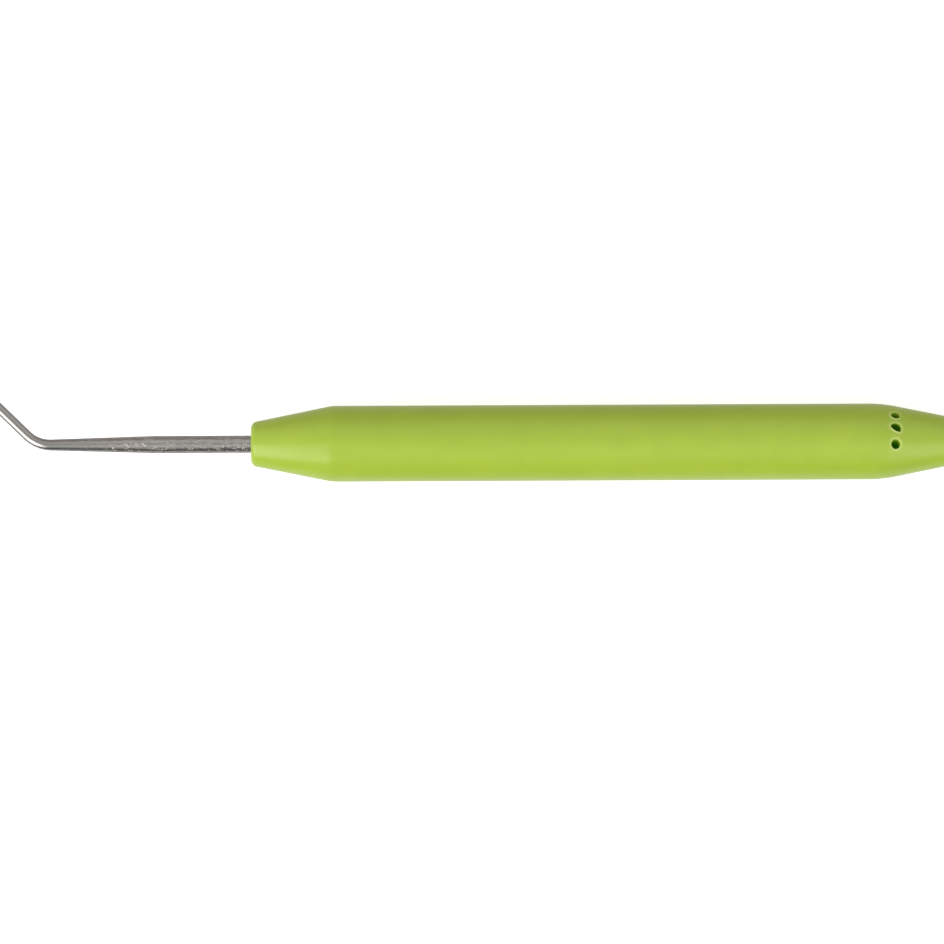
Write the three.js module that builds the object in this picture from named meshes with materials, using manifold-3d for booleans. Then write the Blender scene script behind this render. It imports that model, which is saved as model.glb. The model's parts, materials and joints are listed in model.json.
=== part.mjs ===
// A bent latch hook for yarn. A steel wire comes out of a moulded grip, thins, bends and ends
// in a hook, and a small latch swings on a pin and closes the hook.
// Millimetres, +Z up. The origin is the middle of the grip's flat end, and the tool runs
// along -X. It lies on a table, touching it with the barrel and with the end of the hook.

import * as THREE from 'three';
import { mergeVertices } from 'three/addons/utils/BufferGeometryUtils.js';
import Module from 'manifold-3d';

const wasm = await Module();
wasm.setup();

// Grip: a barrel with a cone at each end
const gripLength = 88.85;
const gripDiameter = 9.5;
const noseDiameter = 5.4;
const noseTaperLength = 10.15;
const noseEdgeRadius = 0.8;
const noseShoulderRadius = 5;
const buttDiameter = 5.5;
const buttTaperLength = 10;
const buttEdgeRadius = 0.6;
const buttShoulderRadius = 15;

// Hollow of the grip, open at the butt, with a solid nose round the wire
const coreMouthDiameter = 4.1;
const coreDraft = 0.4;
const coreEndTaper = 1.1;
const noseSolidLength = 28;

// Three vent holes through the wall, in a row round the butt's cone. The lowest points the same way
// as the middle one, which has a flatter side that bows out to a radius of its own.
const ventDiameter = 1.12;
const ventDistance = 8.38;
const ventRowAngle = THREE.MathUtils.degToRad(6.4);
const ventStepAngle = THREE.MathUtils.degToRad(26);
const flatVentDiameter = 1.38;
const flatVentOffset = 0.3;
const flatVentBow = 1.4;
const flatVentTilt = THREE.MathUtils.degToRad(31);

// Plug that closes the butt: its head carries the cone on, and its spigot snaps in
const plugHeadLength = 1.8;
const spigotLength = 4.4;
const spigotDiameter = 4.3;
const plugGap = 0.05;
const plugWall = 0.8;
const beadHeight = 0.14;
const beadLength = 0.7;
const beadInset = 0.9;

// Wire, measured along its length from the nose of the grip
const wireDiameter = 2.15;
const stemDiameter = 1.25;
const taperDistance = 12.05;
const taperLength = 15.2;
const bendDistance = 26.73;
const bendAngle = THREE.MathUtils.degToRad(45);
const bendRadius = 4.3;

// Root of the wire: pressed flat for a length, so that the grip can't turn or slip on it
const rootEnd = 0.6;
const rootChamfer = 0.25;
const keyDistance = 15;
const keyLength = 5;
const keyBlend = 1.6;
const keyPressShare = 0.76;
const keySpreadShare = 1.25;
const wireGap = 0.04;

// Head of the wire, measured from the corner of the bend
const pinDistance = 11.8;
const hookReach = 21.4;
const cheekLength = 3.6;
const cheekBlend = 1.9;
const cheekHeight = 2;
const cheekRise = 0.2;
const cheekWall = 0.4;
const neckDiameter = 0.98;

// Saw cut between the cheeks
const slotWidth = 0.5;
const slotSawRadius = 6;
const slotFloor = 0.38;

// Hook at the end
const hookDiameter = 0.9;
const hookInnerRadius = 0.95;
const hookTurn = THREE.MathUtils.degToRad(188);
const beakLength = 1.5;
const beakRootDiameter = 0.76;
const beakTipDiameter = 0.5;

// Pin and latch
const pinDiameter = 0.6;
const pinLand = 0.26;
const pinFit = 0.03;
const pinRunningGap = 0.05;
const pinOverhang = 0.02;
const latchSideGap = 0.05;
const eyeWall = 0.33;
const bladeRise = 0.24;
const bladeDrop = 0.1;
const spoonWall = 0.17;
const spoonLength = 2.3;
const spoonGap = 0.09;
const spoonLead = 0.5;
const rimDrop = 0.24;
const rimTilt = THREE.MathUtils.degToRad(9);
const latchLift = THREE.MathUtils.degToRad(1);

// Facets and ways of rounding
const gripSides = 48;
const wireSides = 20;
const ventSides = 20;
const bowSides = 8;
const pinSides = 24;
const spoonSides = 24;
const spoonRings = 16;
const filletSteps = 5;
const ringAngle = THREE.MathUtils.degToRad(12);
const easeSteps = 6;
const domeSteps = 4;
const domeAngle = THREE.MathUtils.degToRad(75);
const roundShare = 2;
const flatShare = 3.4;
const cutOverrun = 1;

// Sizes that follow
const gripRadius = gripDiameter / 2;
const noseX = -gripLength;
const plugSeatX = -plugHeadLength;
const boreDiameter = spigotDiameter + 2 * plugGap;
const tangentRun = bendRadius * Math.tan(bendAngle / 2);
const hookRadius = hookInnerRadius + hookDiameter / 2;
const hookStart = hookReach - hookRadius - hookDiameter / 2;
const beakTipRadius = beakTipDiameter / 2;
const cheekThickness = slotWidth + 2 * cheekWall;
const cheekTop = cheekRise + cheekHeight / 2;
const pinHeight = cheekTop - pinLand - pinDiameter / 2;
const eyeRadius = pinDiameter / 2 + pinRunningGap + eyeWall;

// The wire's centre line lies in one plane: straight runs and turns to the right of the way out
const wirePieces = [
  { run: bendDistance - tangentRun, turn: 0 },
  { run: bendRadius * bendAngle, turn: bendAngle },
  { run: hookStart - tangentRun, turn: 0 },
  { run: hookRadius * hookTurn, turn: hookTurn },
  { run: beakLength, turn: 0 },
];
const bendEnd = wirePieces[0].run + wirePieces[1].run;
const hookArcStart = bendEnd + wirePieces[2].run;
const hookArcEnd = hookArcStart + wirePieces[3].run;
const beakDomeStart = hookArcEnd + beakLength - beakTipRadius;

// Distance along the wire of a place on the head, given from the corner of the bend
function headDistance(fromCorner) {
  return bendEnd + fromCorner - tangentRun;
}

function rightOf(heading) {
  return new THREE.Vector2(Math.sin(heading), -Math.cos(heading));
}

// Point and heading of the centre line at a distance from the nose, less than zero inside it
function wirePlace(distance) {
  const point = new THREE.Vector2(noseX, 0);
  let heading = Math.PI;
  let left = distance;
  for (const piece of wirePieces) {
    const run = Math.min(left, piece.run);
    if (piece.turn === 0) {
      point.x += run * Math.cos(heading);
      point.y += run * Math.sin(heading);
    } else {
      const radius = piece.run / piece.turn;
      const turned = run / radius;
      point.addScaledVector(rightOf(heading), radius);
      heading -= turned;
      point.addScaledVector(rightOf(heading), -radius);
    }
    left -= run;
    if (left <= 0) {
      break;
    }
  }
  return { point, heading };
}

// One section of the wire: its height lies in the plane of the bend
function section(at, height, thickness, corner = roundShare, rise = 0) {
  return { at, height, thickness, corner, rise };
}

function roundSection(at, diameter) {
  return section(at, diameter, diameter);
}

const keyStart = -keyDistance - keyLength / 2;
const keyHeight = wireDiameter * keySpreadShare;
const keyThickness = wireDiameter * keyPressShare;
const cheekStart = headDistance(pinDistance - cheekLength / 2);
const cheekEnd = cheekStart + cheekLength;
const rootX = -noseSolidLength - rootEnd;

const wireSections = [
  roundSection(rootX, wireDiameter - 2 * rootChamfer),
  roundSection(rootX + rootChamfer, wireDiameter),
  roundSection(keyStart - keyBlend, wireDiameter),
  section(keyStart, keyHeight, keyThickness, flatShare),
  section(keyStart + keyLength, keyHeight, keyThickness, flatShare),
  roundSection(keyStart + keyLength + keyBlend, wireDiameter),
  roundSection(taperDistance, wireDiameter),
  roundSection(taperDistance + taperLength, stemDiameter),
  roundSection(cheekStart - cheekBlend, stemDiameter),
  section(cheekStart, cheekHeight, cheekThickness, flatShare, cheekRise),
  section(cheekEnd, cheekHeight, cheekThickness, flatShare, cheekRise),
  roundSection(cheekEnd + cheekBlend, neckDiameter),
  roundSection(hookArcStart, hookDiameter),
  roundSection(hookArcEnd, beakRootDiameter),
  roundSection(beakDomeStart, beakTipDiameter),
  roundSection(beakDomeStart + beakTipRadius, beakTipDiameter),
];

// Section of the wire at any distance. Pressed stretches swell and shrink smoothly.
function wireSection(distance) {
  let index = 1;
  while (index < wireSections.length - 1 && wireSections[index].at < distance) {
    index += 1;
  }
  const near = wireSections[index - 1];
  const far = wireSections[index];
  const share = THREE.MathUtils.clamp((distance - near.at) / (far.at - near.at), 0, 1);
  const eased = THREE.MathUtils.smoothstep(share, 0, 1);
  const blend = near.corner === far.corner ? share : eased;
  const mix = (name) => THREE.MathUtils.lerp(near[name], far[name], blend);
  const intoDome = Math.max(0, distance - beakDomeStart) / beakTipRadius;
  const domeScale = Math.sqrt(Math.max(0, 1 - intoDome * intoDome));
  return {
    height: mix('height') * domeScale,
    thickness: mix('thickness') * domeScale,
    corner: mix('corner'),
    rise: mix('rise'),
  };
}

// Distances at which the wire's surface has a ring of points
function wireRings() {
  const joints = [wirePieces[0].run, bendEnd, hookArcStart, hookArcEnd];
  const marks = [...wireSections.map((entry) => entry.at), ...joints];
  const sorted = marks.filter((mark) => mark <= beakDomeStart).sort((a, b) => a - b);
  const rings = [sorted[0]];
  for (let i = 1; i < sorted.length; i += 1) {
    const start = sorted[i - 1];
    const end = sorted[i];
    const turn = Math.abs(wirePlace(end).heading - wirePlace(start).heading);
    const pressed = wireSection(start).corner !== wireSection(end).corner;
    const steps = Math.max(Math.ceil(turn / ringAngle), pressed ? easeSteps : 1);
    for (let step = 1; step <= steps && end > start; step += 1) {
      rings.push(THREE.MathUtils.lerp(start, end, step / steps));
    }
  }
  for (let step = 1; step <= domeSteps; step += 1) {
    rings.push(beakDomeStart + beakTipRadius * Math.sin(domeAngle * step / domeSteps));
  }
  return rings;
}

// The wire as a closed surface, grown all round by a gap where a piece has to fit over it
function wireSurface(grow = 0) {
  const rings = wireRings();
  const surface = new THREE.CylinderGeometry(1, 1, 1, wireSides, rings.length - 1);
  const spots = surface.attributes.position;
  for (let i = 0; i < spots.count; i += 1) {
    const ring = Math.round((1 / 2 - spots.getY(i)) * (rings.length - 1));
    const { point, heading } = wirePlace(rings[ring]);
    const { height, thickness, corner, rise } = wireSection(rings[ring]);
    const power = 2 / corner;
    const across = Math.sign(spots.getX(i)) * Math.abs(spots.getX(i)) ** power;
    const beside = Math.sign(spots.getZ(i)) * Math.abs(spots.getZ(i)) ** power;
    const offset = rise + across * (height / 2 + grow);
    point.addScaledVector(rightOf(heading), offset);
    spots.setXYZ(i, point.x, point.y, -beside * (thickness / 2 + grow));
  }
  return surface;
}

// A closed three.js surface as a solid that can be cut and joined
function solidOf(geometry) {
  const bare = geometry.clone();
  bare.deleteAttribute('normal');
  bare.deleteAttribute('uv');
  const merged = mergeVertices(bare);
  const corners = Array.from(merged.index.array);
  const kept = [];
  for (let i = 0; i < corners.length; i += 3) {
    const [a, b, c] = corners.slice(i, i + 3);
    if (a !== b && b !== c && c !== a) {
      kept.push(a, b, c);
    }
  }
  const vertProperties = Float32Array.from(merged.attributes.position.array);
  const triVerts = Uint32Array.from(kept);
  return new wasm.Manifold(new wasm.Mesh({ numProp: 3, vertProperties, triVerts }));
}

function surfaceOf(solid) {
  const mesh = solid.getMesh();
  const geometry = new THREE.BufferGeometry();
  geometry.setAttribute('position', new THREE.BufferAttribute(mesh.vertProperties, mesh.numProp));
  geometry.setIndex(new THREE.BufferAttribute(mesh.triVerts, 1));
  geometry.computeVertexNormals();
  return geometry;
}

// Outline of corners, each given as x, radius from the axis and fillet, turned round the X axis
function turned(corners, sides = gripSides) {
  const points = [];
  corners.forEach(([x, radius, fillet = 0], index) => {
    const corner = new THREE.Vector2(radius, x);
    if (fillet === 0) {
      points.push(corner);
      return;
    }
    const [backX, backRadius] = corners[index - 1];
    const [nextX, nextRadius] = corners[index + 1];
    const back = new THREE.Vector2(backRadius, backX).sub(corner).normalize();
    const next = new THREE.Vector2(nextRadius, nextX).sub(corner).normalize();
    const halfAngle = Math.acos(THREE.MathUtils.clamp(back.dot(next), -1, 1)) / 2;
    const inwards = back.clone().add(next).normalize();
    const centre = corner.clone().addScaledVector(inwards, fillet / Math.sin(halfAngle));
    const start = corner.clone().addScaledVector(back, fillet / Math.tan(halfAngle));
    const sweep = Math.PI - 2 * halfAngle;
    const side = Math.sign(next.cross(back));
    for (let step = 0; step <= filletSteps; step += 1) {
      const turn = side * sweep * step / filletSteps;
      points.push(start.clone().rotateAround(centre, turn));
    }
  });
  return new THREE.LatheGeometry(points, sides).rotateZ(-Math.PI / 2);
}

// Radius of the butt's cone at a place on the axis
function buttConeRadius(x) {
  return THREE.MathUtils.mapLinear(x, -buttTaperLength, 0, gripRadius, buttDiameter / 2);
}

// Ring round the spigot that snaps into a groove, as corners on an outline
function beadCorners(radius, height, length) {
  const middle = plugSeatX - spigotLength + beadInset;
  return [
    [middle - length / 2, radius],
    [middle, radius + height],
    [middle + length / 2, radius],
  ];
}

// Outline of a round vent as seen from outside
function roundVentOutline(radius) {
  const outline = new THREE.Shape();
  outline.absarc(0, 0, radius, 0, 2 * Math.PI, false);
  return outline;
}

// Outline of the middle vent. Its flatter side reaches to an offset from the middle, and it is
// tilted down towards the butt.
function flatVentOutline(radius, offset, bow, tilt) {
  const facing = -Math.PI / 2 - tilt;
  const behind = bow - offset;
  const cornerReach = (bow ** 2 - radius ** 2 - behind ** 2) / (2 * behind);
  const openHalf = Math.acos(cornerReach / radius);
  const bowHalf = Math.acos((cornerReach + behind) / bow);
  const bowX = -behind * Math.cos(facing);
  const bowY = -behind * Math.sin(facing);
  const side = new THREE.EllipseCurve(bowX, bowY, bow, bow, facing - bowHalf, facing + bowHalf);
  const outline = new THREE.Shape();
  outline.absarc(0, 0, radius, facing + openHalf, facing + 2 * Math.PI - openHalf, false);
  for (const point of side.getPoints(bowSides).slice(1, -1)) {
    outline.lineTo(point.x, point.y);
  }
  return outline;
}

// Cut for one vent. Its mouth lies on the cone at one angle from local up. It points out from
// there at another, and leans towards the butt as the cone does.
function ventCut(outline, mouthAngle, outAngle) {
  const mouthRadius = buttConeRadius(-ventDistance);
  const lean = Math.atan2(gripRadius - buttDiameter / 2, buttTaperLength);
  const mouthY = mouthRadius * Math.sin(mouthAngle);
  const mouthZ = mouthRadius * Math.cos(mouthAngle);
  const cut = new THREE.ExtrudeGeometry(outline, {
    depth: mouthRadius + cutOverrun,
    bevelEnabled: false,
    curveSegments: ventSides,
  });
  cut.translate(0, 0, -mouthRadius);
  cut.rotateY(lean);
  cut.rotateX(-outAngle);
  cut.translate(-ventDistance, mouthY, mouthZ);
  return solidOf(cut);
}

function makeHandle(material) {
  const boreEnd = plugSeatX - spigotLength - plugGap;
  const coreEnd = noseX + noseSolidLength;
  const coreEndRadius = (coreMouthDiameter - coreDraft) / 2;
  const groove = beadCorners(boreDiameter / 2, beadHeight, beadLength + 2 * plugGap).reverse();
  const shell = solidOf(turned([
    [noseX, 0],
    [noseX, noseDiameter / 2, noseEdgeRadius],
    [noseX + noseTaperLength, gripRadius, noseShoulderRadius],
    [-buttTaperLength, gripRadius, buttShoulderRadius],
    [plugSeatX - plugGap, buttConeRadius(plugSeatX - plugGap)],
    [plugSeatX - plugGap, boreDiameter / 2],
    ...groove,
    [boreEnd, boreDiameter / 2],
    [boreEnd, coreMouthDiameter / 2],
    [coreEnd + coreEndTaper, coreEndRadius],
    [coreEnd, wireDiameter / 2],
    [coreEnd, 0],
  ]));
  const roundVent = roundVentOutline(ventDiameter / 2);
  const flatRadius = flatVentDiameter / 2;
  const flatVent = flatVentOutline(flatRadius, flatVentOffset, flatVentBow, flatVentTilt);
  const lowestAngle = ventRowAngle - ventStepAngle;
  const highestAngle = ventRowAngle + ventStepAngle;
  const vents = [
    ventCut(roundVent, lowestAngle, ventRowAngle),
    ventCut(flatVent, ventRowAngle, ventRowAngle),
    ventCut(roundVent, highestAngle, highestAngle),
  ];
  let body = shell.subtract(solidOf(wireSurface(wireGap)));
  for (const vent of vents) {
    body = body.subtract(vent);
  }
  return named('handle', surfaceOf(body), material);
}

function makeEndPlug(material) {
  const spigotEnd = plugSeatX - spigotLength;
  const spigotRadius = spigotDiameter / 2;
  const hollowRadius = spigotRadius - plugWall;
  const geometry = turned([
    [plugSeatX, 0],
    [plugSeatX, hollowRadius],
    [spigotEnd, hollowRadius],
    [spigotEnd, spigotRadius],
    ...beadCorners(spigotRadius, beadHeight, beadLength),
    [plugSeatX, spigotRadius],
    [plugSeatX, buttConeRadius(plugSeatX)],
    [0, buttDiameter / 2, buttEdgeRadius],
    [0, 0],
  ]);
  return named('end_plug', surfaceOf(solidOf(geometry)), material);
}

// Round bar across the wire at a place on the head, for the pin and the holes it fits
function crossBar(radius, length, fromCorner, height, sides = pinSides) {
  const bar = new THREE.CylinderGeometry(radius, radius, length, sides);
  bar.rotateX(Math.PI / 2);
  const { point, heading } = wirePlace(headDistance(fromCorner));
  point.addScaledVector(rightOf(heading), height);
  bar.translate(point.x, point.y, 0);
  return bar;
}

function makeShank(material) {
  const sawHeight = cheekTop - cheekHeight + slotFloor + slotSawRadius;
  const saw = solidOf(crossBar(slotSawRadius, slotWidth, pinDistance, sawHeight, gripSides));
  const boreLength = cheekThickness + 2 * cutOverrun;
  const bore = crossBar(pinDiameter / 2 + pinFit, boreLength, pinDistance, pinHeight);
  const wire = solidOf(wireSurface()).subtract(saw).subtract(solidOf(bore));
  return named('shank', surfaceOf(wire), material);
}

function makePin(material) {
  const length = cheekThickness + 2 * pinOverhang;
  const pin = new THREE.CylinderGeometry(pinDiameter / 2, pinDiameter / 2, length, pinSides);
  pin.rotateX(Math.PI / 2);
  return named('latch_pin', pin, material);
}

// Middle of the beak's rounded end, in the frame of the head: along it and to its open side
function beakTip() {
  const corner = new THREE.Vector2(noseX - bendDistance, 0);
  const tip = wirePlace(beakDomeStart).point.sub(corner);
  const along = new THREE.Vector2(1, 0).rotateAround(new THREE.Vector2(), Math.PI - bendAngle);
  const open = rightOf(Math.PI - bendAngle);
  return new THREE.Vector2(tip.dot(along), tip.dot(open));
}

// From the pin to the beak's end: the closed latch points this way, and rests on the beak
const latchReach = beakTip().sub(new THREE.Vector2(pinDistance, pinHeight));
const latchRestAngle = latchReach.angle() + latchLift;

// Angle on the latch's eye at which a line to a point beyond it leaves the eye as a tangent
function tangentAngle(along, aside) {
  return Math.atan2(aside, along) + Math.acos(eyeRadius / Math.hypot(along, aside));
}

// The latch lies along its own X axis from the pin, and its +Y side is the outer one
function makeLatch(material) {
  const thickness = slotWidth - 2 * latchSideGap;
  const reach = latchReach.length();
  const spoonStart = reach - spoonLead - spoonWall;
  const hollowRadius = beakRootDiameter / 2 + spoonGap;
  const spoonRadius = hollowRadius + spoonWall;
  const bladeEnd = spoonStart + spoonLead;
  const upperAngle = tangentAngle(bladeEnd, bladeRise);
  const lowerAngle = -tangentAngle(bladeEnd, bladeDrop);
  const outline = new THREE.Shape();
  outline.absarc(0, 0, eyeRadius, upperAngle, lowerAngle, false);
  outline.lineTo(bladeEnd, -bladeDrop);
  outline.lineTo(bladeEnd, bladeRise);
  const blade = new THREE.ExtrudeGeometry(outline, {
    depth: thickness,
    bevelEnabled: false,
    curveSegments: pinSides,
  });
  blade.translate(0, 0, -thickness / 2);
  const spoon = new THREE.SphereGeometry(1, spoonSides, spoonRings).rotateZ(Math.PI / 2);
  const hollow = spoon.clone();
  spoon.scale(spoonLength / 2, spoonRadius, spoonRadius);
  spoon.translate(spoonStart + spoonLength / 2, 0, 0);
  hollow.scale(spoonLength / 2 - spoonWall, hollowRadius, hollowRadius);
  hollow.translate(spoonStart + spoonLength / 2, 0, 0);
  const under = new THREE.BoxGeometry(2 * spoonLength, spoonRadius, 2 * spoonRadius + cutOverrun);
  under.translate(spoonLength, -spoonRadius / 2, 0);
  under.rotateZ(rimTilt);
  under.translate(spoonStart, -rimDrop, 0);
  const eyeCut = new THREE.CylinderGeometry(1, 1, slotWidth + cutOverrun, pinSides);
  eyeCut.scale(pinDiameter / 2 + pinRunningGap, 1, pinDiameter / 2 + pinRunningGap);
  eyeCut.rotateX(Math.PI / 2);
  const latch = solidOf(blade)
    .add(solidOf(spoon))
    .subtract(solidOf(hollow))
    .subtract(solidOf(under))
    .subtract(solidOf(eyeCut));
  return named('latch', surfaceOf(latch), material);
}

function named(name, geometry, material) {
  const mesh = new THREE.Mesh(geometry, material);
  mesh.name = name;
  return mesh;
}

function limePlastic() {
  return new THREE.MeshStandardMaterial({ color: '#a8c84b', roughness: 0.42, metalness: 0 });
}

function swagedSteel() {
  return new THREE.MeshStandardMaterial({ color: '#b4b0ab', roughness: 0.38, metalness: 1 });
}

function polishedSteel() {
  return new THREE.MeshStandardMaterial({ color: '#c9c6c2', roughness: 0.22, metalness: 1 });
}

// The head's group lies along the bent stem, with +Y to the side where the hook opens
function makeHead() {
  const head = new THREE.Group();
  head.position.set(noseX - bendDistance, 0, 0);
  head.rotation.set(Math.PI, 0, Math.PI - bendAngle, 'ZYX');
  const pin = makePin(polishedSteel());
  const latch = makeLatch(polishedSteel());
  pin.position.set(pinDistance, pinHeight, 0);
  latch.position.set(pinDistance, pinHeight, 0);
  latch.rotation.z = latchRestAngle;
  head.add(pin, latch);
  return head;
}

// The bent end drops until the bow of the hook touches the table that the barrel lies on
const bowDistance = hookArcStart + hookRadius * (Math.PI - bendAngle);
const bowRadius = wireSection(bowDistance).thickness / 2;
const rollAngle = Math.asin((gripRadius - bowRadius) / wirePlace(bowDistance).point.y);

const lime = limePlastic();
const tool = new THREE.Group();
tool.rotation.x = -rollAngle;
tool.add(makeHandle(lime), makeEndPlug(lime), makeShank(swagedSteel()), makeHead());

const latchHook = new THREE.Group();
latchHook.add(tool);

export default latchHook;
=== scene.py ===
import json
import math

import bmesh
import bpy
from mathutils import Matrix, Vector


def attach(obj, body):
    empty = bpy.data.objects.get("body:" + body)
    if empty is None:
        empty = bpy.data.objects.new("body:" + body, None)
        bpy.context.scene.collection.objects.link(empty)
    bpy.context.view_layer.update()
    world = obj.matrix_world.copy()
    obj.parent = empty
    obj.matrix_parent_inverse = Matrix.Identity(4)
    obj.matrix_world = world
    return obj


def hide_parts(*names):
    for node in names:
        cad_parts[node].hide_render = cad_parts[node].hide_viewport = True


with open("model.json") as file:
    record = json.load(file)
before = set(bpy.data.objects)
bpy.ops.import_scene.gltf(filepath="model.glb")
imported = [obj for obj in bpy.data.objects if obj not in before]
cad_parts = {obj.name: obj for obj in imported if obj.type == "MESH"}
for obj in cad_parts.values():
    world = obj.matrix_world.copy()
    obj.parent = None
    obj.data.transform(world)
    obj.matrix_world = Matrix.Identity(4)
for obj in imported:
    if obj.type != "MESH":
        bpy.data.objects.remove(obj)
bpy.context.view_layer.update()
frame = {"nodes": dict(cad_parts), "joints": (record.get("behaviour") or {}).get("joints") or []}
print("frame loaded:", sorted(frame["nodes"]))

# Every piece is drawn in millimetres with the grip along X and its flat end at X = 0.
# setInPlace then shrinks it to metres and rolls it over onto the table.
millimetre = 0.001
pivot = frame["joints"][0]
rollAngle = math.atan2(-pivot["axis"][1], -pivot["axis"][2])

# How close together points count as one place, and how far apart doubles are still welded
samePlace = 1e-4
weldGap = 0.0005


def freshStart():
    if bpy.context.mode != 'OBJECT':
        bpy.ops.object.mode_set(mode='OBJECT')
    bpy.ops.object.select_all(action='DESELECT')


def workOn(piece):
    freshStart()
    piece.select_set(True)
    bpy.context.view_layer.objects.active = piece


def newPiece(name):
    piece = bpy.context.object
    piece.name = name
    piece.data.name = name
    return piece


def applyPlace(piece):
    workOn(piece)
    bpy.ops.object.transform_apply(location=True, rotation=True, scale=True)


def setInPlace(piece):
    piece.scale = (millimetre, millimetre, millimetre)
    piece.rotation_euler = (-rollAngle, 0, 0)
    applyPlace(piece)


# Selects the vertices, edges or faces that pass a test, in edit mode
def pick(piece, test, kind='VERT'):
    bpy.ops.mesh.select_mode(type=kind)
    bpy.ops.mesh.select_all(action='DESELECT')
    inside = bmesh.from_edit_mesh(piece.data)
    group = {'VERT': inside.verts, 'EDGE': inside.edges, 'FACE': inside.faces}[kind]
    for item in group:
        if test(item):
            item.select = True
    inside.select_flush_mode()
    bmesh.update_edit_mesh(piece.data)


def cutWith(piece, cutter, operation='DIFFERENCE'):
    workOn(piece)
    bite = piece.modifiers.new("bite", 'BOOLEAN')
    bite.operation = operation
    bite.solver = 'EXACT'
    bite.object = cutter
    bpy.ops.object.modifier_apply(modifier=bite.name)
    bpy.data.objects.remove(cutter)


def smoothPiece(piece, degrees):
    workOn(piece)
    bpy.ops.object.shade_smooth_by_angle(angle=math.radians(degrees))


# Draws half an outline from one vertex. Corners are x, radius, fillet and segments of the fillet.
def drawOutline(name, corners):
    freshStart()
    bpy.ops.mesh.primitive_plane_add(size=1, location=(0, 0, 0))
    outline = newPiece(name)
    bpy.ops.object.mode_set(mode='EDIT')
    bpy.ops.mesh.select_all(action='SELECT')
    bpy.ops.mesh.merge(type='CENTER')
    bpy.ops.transform.translate(value=(corners[0][0], 0, corners[0][1]))
    for here, there in zip(corners, corners[1:]):
        step = (there[0] - here[0], 0, there[1] - here[1])
        bpy.ops.mesh.extrude_vertices_move(TRANSFORM_OT_translate={"value": step})
    for before, corner, after in zip(corners, corners[1:], corners[2:]):
        if len(corner) < 4:
            continue
        spot = Vector((corner[0], 0, corner[1]))
        arriving = spot - Vector((before[0], 0, before[1]))
        leaving = Vector((after[0], 0, after[1])) - spot
        pullBack = corner[2] * math.tan(arriving.angle(leaving) / 2)
        pick(outline, lambda v: (v.co - spot).length < samePlace)
        bpy.ops.mesh.bevel(offset=pullBack, segments=corner[3], profile=0.5, affect='VERTICES')
    return outline


# Turns an outline round the X axis into a closed body
def turnOutline(outline, steps):
    bpy.ops.mesh.select_mode(type='VERT')
    bpy.ops.mesh.select_all(action='SELECT')
    bpy.ops.mesh.spin(steps=steps, angle=2 * math.pi, center=(0, 0, 0), axis=(1, 0, 0))
    bpy.ops.mesh.select_all(action='SELECT')
    bpy.ops.mesh.remove_doubles(threshold=weldGap)
    bpy.ops.mesh.normals_make_consistent(inside=False)
    freshStart()
    return outline


wire = {
    "sides": 64,
    "nose": -88.85,             # where it leaves the grip
    "root": -28.6,              # distances are from the nose, less than zero inside the grip
    "diameter": 2.15,
    "chamfer": 0.25,
    "keyStart": -17.5, "keyEnd": -12.5, "keyBlend": 1.6,
    "keyHeight": 2.688, "keyThickness": 1.634,
    "taperStart": 12.05, "taperEnd": 27.25,
    "stem": 1.25,
    "bendCorner": 26.73, "bendRadius": 4.3, "bendTurn": 45.0, "bendSteps": 24,
    "ringStep": 0.5, "pressedStep": 0.2, "ringSlack": 0.001, "bendSlack": 0.002,
    "keyEase": 2.0, "easeShare": 0.5, "easeTimes": 3,
    "smoothDegrees": 38,
}

# Sizes from the corner of the bend along the stem, and across it to the open side of the hook
head = {
    "pin": 11.8, "pinHeight": 0.64,
    "cheekLength": 3.6, "cheekBlend": 1.9, "cheekHeight": 2.0, "cheekThickness": 1.3,
    "cheekRise": 0.2, "cheekEase": 1.5,
    "neck": 0.98,
    "slotWidth": 0.5, "sawRadius": 6.0, "sawSides": 320, "slotFloor": 0.38,
    "boreRadius": 0.33, "boreSides": 64,
    "hookStart": 19.55, "hookRadius": 1.4, "hookTurn": 188.0, "hookSteps": 64,
    "hook": 0.9, "beakRoot": 0.76, "beakTip": 0.5, "beakLength": 1.5, "tipRings": 9,
}

bendPullBack = wire["bendRadius"] * math.tan(math.radians(wire["bendTurn"]) / 2)
bendStart = wire["bendCorner"] - bendPullBack
bendEnd = bendStart + wire["bendRadius"] * math.radians(wire["bendTurn"])
headStart = bendEnd - bendPullBack
hookStart = headStart + head["hookStart"]
hookEnd = hookStart + head["hookRadius"] * math.radians(head["hookTurn"])
tipStart = hookEnd + head["beakLength"] - head["beakTip"] / 2
cheekStart = headStart + head["pin"] - head["cheekLength"] / 2
cheekEnd = cheekStart + head["cheekLength"]
pinAlong = headStart + head["pin"]

# Distance from the nose, height in the plane of the bend, thickness and rise to the open side
full = wire["diameter"]
wireKnots = [
    (wire["root"], full - 2 * wire["chamfer"], full - 2 * wire["chamfer"], 0),
    (wire["root"] + wire["chamfer"], full, full, 0),
    (wire["keyStart"] - wire["keyBlend"], full, full, 0),
    (wire["keyStart"], wire["keyHeight"], wire["keyThickness"], 0),
    (wire["keyEnd"], wire["keyHeight"], wire["keyThickness"], 0),
    (wire["keyEnd"] + wire["keyBlend"], full, full, 0),
    (wire["taperStart"], full, full, 0),
    (wire["taperEnd"], wire["stem"], wire["stem"], 0),
    (cheekStart - head["cheekBlend"], wire["stem"], wire["stem"], 0),
    (cheekStart, head["cheekHeight"], head["cheekThickness"], head["cheekRise"]),
    (cheekEnd, head["cheekHeight"], head["cheekThickness"], head["cheekRise"]),
    (cheekEnd + head["cheekBlend"], head["neck"], head["neck"], 0),
    (hookStart, head["hook"], head["hook"], 0),
    (hookEnd, head["beakRoot"], head["beakRoot"], 0),
    (tipStart, head["beakTip"], head["beakTip"], 0),
]


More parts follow.
